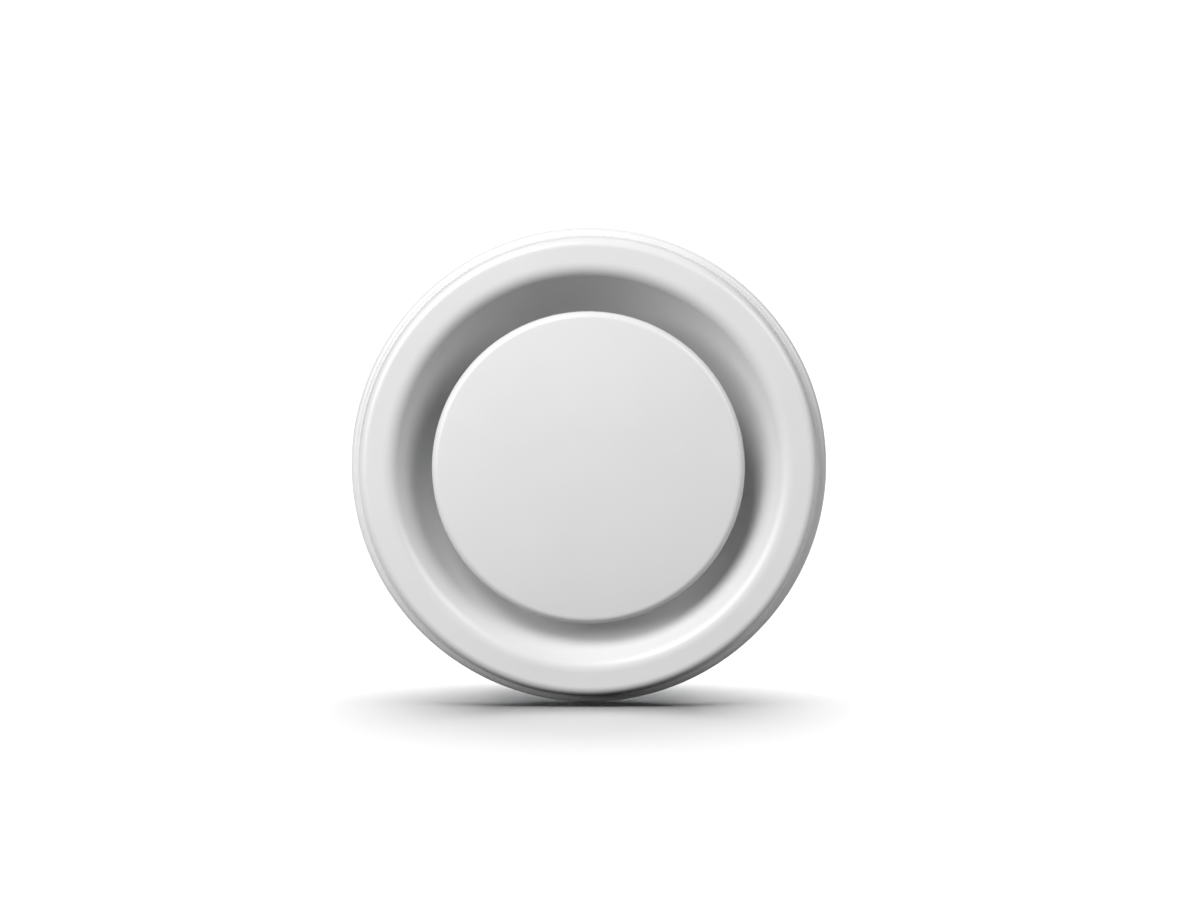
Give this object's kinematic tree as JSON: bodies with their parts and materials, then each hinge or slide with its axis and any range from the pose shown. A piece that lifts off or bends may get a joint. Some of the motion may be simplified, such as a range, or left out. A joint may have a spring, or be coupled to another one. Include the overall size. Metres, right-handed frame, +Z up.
{
  "type": "ventilation disc valve",
  "caption": "Round white extract-air valve: bell-mouthed ring with a plain disc that screws in and out on a spindle, clipped into a flanged duct collar.",
  "frame": {"origin": "on the valve's axis, in the plane of the wall that the mounting frame's flange rests on", "axes": "+Y along the valve's axis into the duct, +Z up on a wall, -Y into the room"},
  "size_m": [0.164, 0.0635, 0.164],
  "materials": {
    "powder_coat": "satin",
    "galvanised": "satin",
    "zinc": "satin",
    "spring_steel": "satin",
    "foam": "matte",
    "epdm": "matte"
  },
  "bodies": {
    "frame": {"mounting_frame": "galvanised", "duct_seal": "epdm", "frame_screw_1": "zinc", "frame_screw_2": "zinc", "frame_screw_3": "zinc", "frame_screw_4": "zinc"},
    "valve": {"valve_ring": "powder_coat", "face_gasket": "foam", "bridge": "galvanised", "bridge_rivet_1": "zinc", "bridge_rivet_2": "zinc", "bridge_rivet_3": "zinc", "bridge_rivet_4": "zinc", "spindle_bush": "zinc", "spring_clip_1": "spring_steel", "spring_clip_2": "spring_steel", "spring_clip_3": "spring_steel", "clip_rivet_1": "zinc", "clip_rivet_2": "zinc", "clip_rivet_3": "zinc"},
    "stop_clip": {"stop_clip": "spring_steel"},
    "disc": {"valve_disc": "powder_coat", "disc_boss": "galvanised", "spindle": "zinc"},
    "lock_washer": {"lock_washer": "spring_steel"},
    "lock_nut": {"lock_nut": "zinc"}
  },
  "joints": [
    {"name": "valve_pull", "type": "slide", "parent": "frame", "child": "valve", "axis": [0, -1, 0], "range_m": [0, 0.06]},
    {"name": "disc_travel", "type": "slide", "parent": "valve", "child": "stop_clip", "axis": [0, 1, 0], "range_m": [-0.01001, 0.01501]},
    {"name": "disc_turn", "type": "hinge", "parent": "stop_clip", "child": "disc", "pos_m": [0, 0, 0], "axis": [0, 1, 0], "range_deg": [-2880, 4320]},
    {"name": "nut_travel", "type": "slide", "parent": "valve", "child": "lock_washer", "axis": [0, 1, 0], "range_m": [0, 0.00501]},
    {"name": "nut_turn", "type": "hinge", "parent": "lock_washer", "child": "lock_nut", "pos_m": [0, 0.0224, 0], "axis": [0, 1, 0], "range_deg": [0, 1440]}
  ],
  "couplings": [
    {"joint": "disc_travel", "follows": "disc_turn", "m_per_rad": 0.00019894},
    {"joint": "nut_travel", "follows": "nut_turn", "m_per_rad": 0.00019894}
  ]
}
